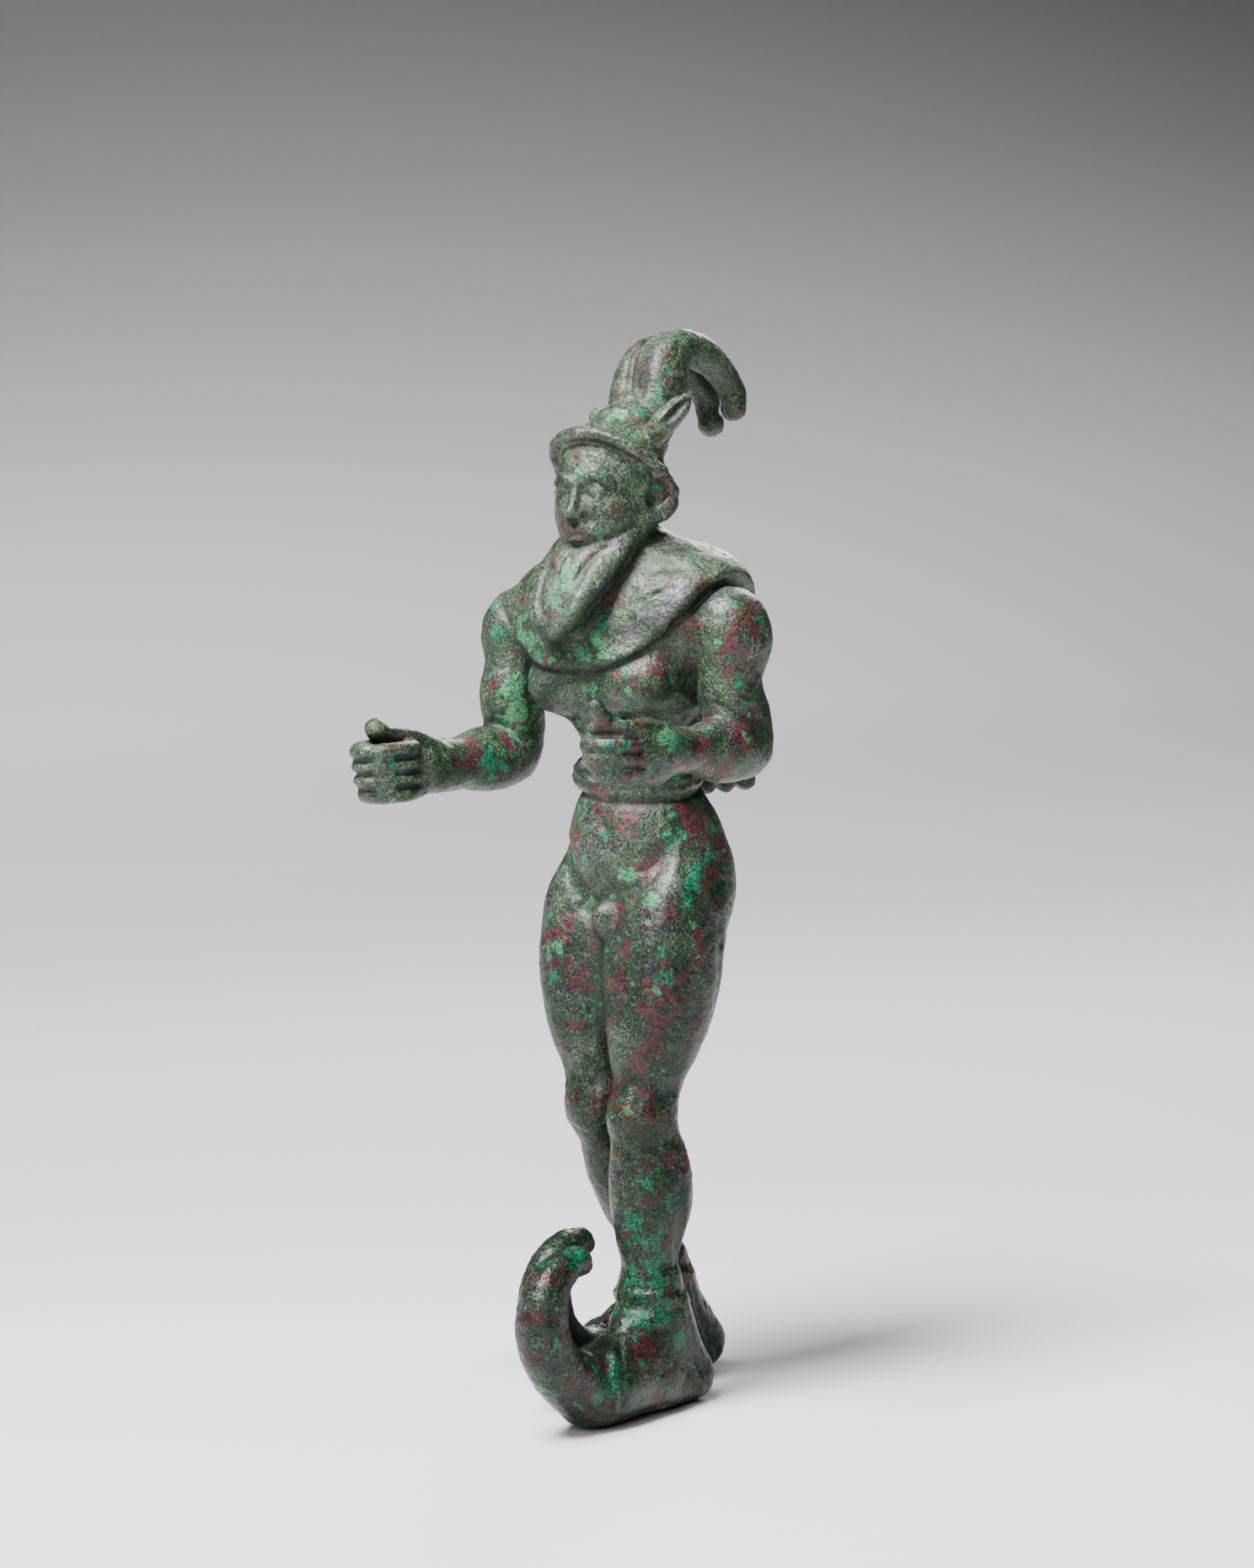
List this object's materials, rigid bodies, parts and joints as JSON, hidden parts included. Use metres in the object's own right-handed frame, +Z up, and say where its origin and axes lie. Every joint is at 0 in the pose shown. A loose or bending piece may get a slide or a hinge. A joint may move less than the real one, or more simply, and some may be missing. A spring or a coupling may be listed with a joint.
{
  "type": "standing male figurine",
  "caption": "Cast bronze striding man with an ibex-horned cap, pointed beard, feathered shoulder skin, rolled belt and upturned boots, both fists held out; stands on its soles.",
  "frame": {"origin": "On the floor under the middle of the figure's outline seen from above", "axes": "+Z up along the body; the figure faces -Y; its left side, with the leg put forward, is on +X"},
  "size_m": [0.0524, 0.0728, 0.1729],
  "materials": {
    "bronze": "dark grey-brown copper alloy with a satin sheen, mottled emerald green, pale mint and dull red patina"
  },
  "bodies": {
    "root": {"figurine": "bronze"}
  },
  "joints": []
}
